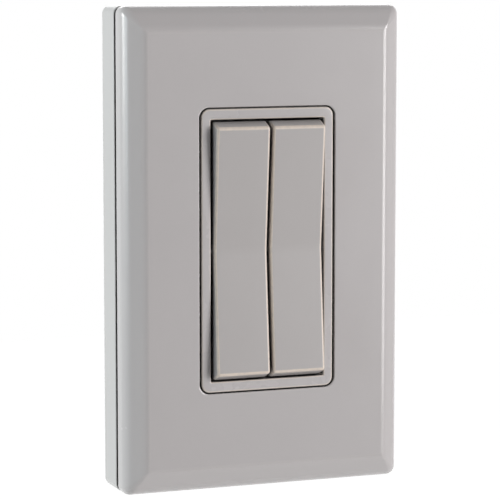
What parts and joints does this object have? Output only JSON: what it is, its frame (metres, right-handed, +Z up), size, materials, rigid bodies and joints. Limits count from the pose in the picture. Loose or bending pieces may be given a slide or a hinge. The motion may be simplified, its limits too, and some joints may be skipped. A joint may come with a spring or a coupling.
{
  "type": "double rocker wall switch",
  "caption": "Surface-mounted wireless wall switch: bevelled cover plate, flush bezel and side-by-side spring-centred V-profile rockers over an energy-harvesting transmitter module.",
  "frame": {"origin": "centre of the flat back face, which lies against the wall", "axes": "+Z up along the plate's height, +X to the right as seen from the front, +Y into the wall; the front faces -Y"},
  "size_m": [0.0698, 0.0202, 0.1142],
  "materials": {
    "frame_plastic": "moulded light grey plastic, fine satin",
    "plate_plastic": "moulded light grey plastic, glossy",
    "bezel_plastic": "moulded light grey plastic, satin gloss",
    "rocker_plastic": "moulded light grey plastic, satin gloss",
    "case_plastic": "moulded off-white case",
    "bow_plastic": "moulded dark bow",
    "bobbin_plastic": "moulded black bobbin",
    "pin_plastic": "turned natural acetal",
    "silicone": "grey silicone",
    "board_green": "solder resist",
    "chip_black": "moulded chip",
    "can_aluminium": "drawn can",
    "copper": "enamelled copper",
    "magnet_nickel": "nickel plated",
    "steel": "plain steel",
    "spring_steel": "spring steel"
  },
  "bodies": {
    "switch": {"back_frame": "frame_plastic", "wall_plate": "plate_plastic", "bezel_frame": "bezel_plastic", "rocker_axle": "steel", "module_base": "case_plastic", "module_cover": "case_plastic", "circuit_board": "board_green", "radio_chip": "chip_black", "storage_capacitor": "can_aluminium", "antenna_strip": "copper", "contact_mat": "silicone", "coil_core": "steel", "coil_bobbin": "bobbin_plastic", "coil_winding": "copper"},
    "rocker_left": {"rocker_left": "rocker_plastic"},
    "rocker_right": {"rocker_right": "rocker_plastic"},
    "bow": {"energy_bow": "bow_plastic", "magnet": "magnet_nickel", "pole_plate_rear": "steel", "pole_plate_front": "steel", "bow_spring": "spring_steel"},
    "upper_left_pin": {"push_pin_upper_left": "pin_plastic"},
    "upper_right_pin": {"push_pin_upper_right": "pin_plastic"},
    "lower_left_pin": {"push_pin_lower_left": "pin_plastic"},
    "lower_right_pin": {"push_pin_lower_right": "pin_plastic"}
  },
  "joints": [
    {"name": "left_rocker_hinge", "type": "hinge", "parent": "switch", "child": "rocker_left", "pos_m": [-0.00698, -0.0146, 0], "axis": [1, 0, 0], "range_deg": [-3.5, 3.5], "stiffness_Nm_per_rad": 2},
    {"name": "right_rocker_hinge", "type": "hinge", "parent": "switch", "child": "rocker_right", "pos_m": [0.00698, -0.0146, 0], "axis": [1, 0, 0], "range_deg": [-3.5, 3.5], "stiffness_Nm_per_rad": 2},
    {"name": "bow_slide", "type": "slide", "parent": "switch", "child": "bow", "axis": [0, 1, 0], "range_m": [0, 0.001], "stiffness_N_per_m": 4000},
    {"name": "upper_left_pin_slide", "type": "slide", "parent": "switch", "child": "upper_left_pin", "axis": [0, 1, 0], "range_m": [-0.00086, 0.00086]},
    {"name": "upper_right_pin_slide", "type": "slide", "parent": "switch", "child": "upper_right_pin", "axis": [0, 1, 0], "range_m": [-0.00086, 0.00086]},
    {"name": "lower_left_pin_slide", "type": "slide", "parent": "switch", "child": "lower_left_pin", "axis": [0, 1, 0], "range_m": [-0.00086, 0.00086]},
    {"name": "lower_right_pin_slide", "type": "slide", "parent": "switch", "child": "lower_right_pin", "axis": [0, 1, 0], "range_m": [-0.00086, 0.00086]}
  ],
  "couplings": [
    {"joint": "upper_left_pin_slide", "follows": "left_rocker_hinge", "m_per_rad": -0.014},
    {"joint": "upper_right_pin_slide", "follows": "right_rocker_hinge", "m_per_rad": -0.014},
    {"joint": "lower_left_pin_slide", "follows": "left_rocker_hinge", "m_per_rad": 0.014},
    {"joint": "lower_right_pin_slide", "follows": "right_rocker_hinge", "m_per_rad": 0.014}
  ]
}
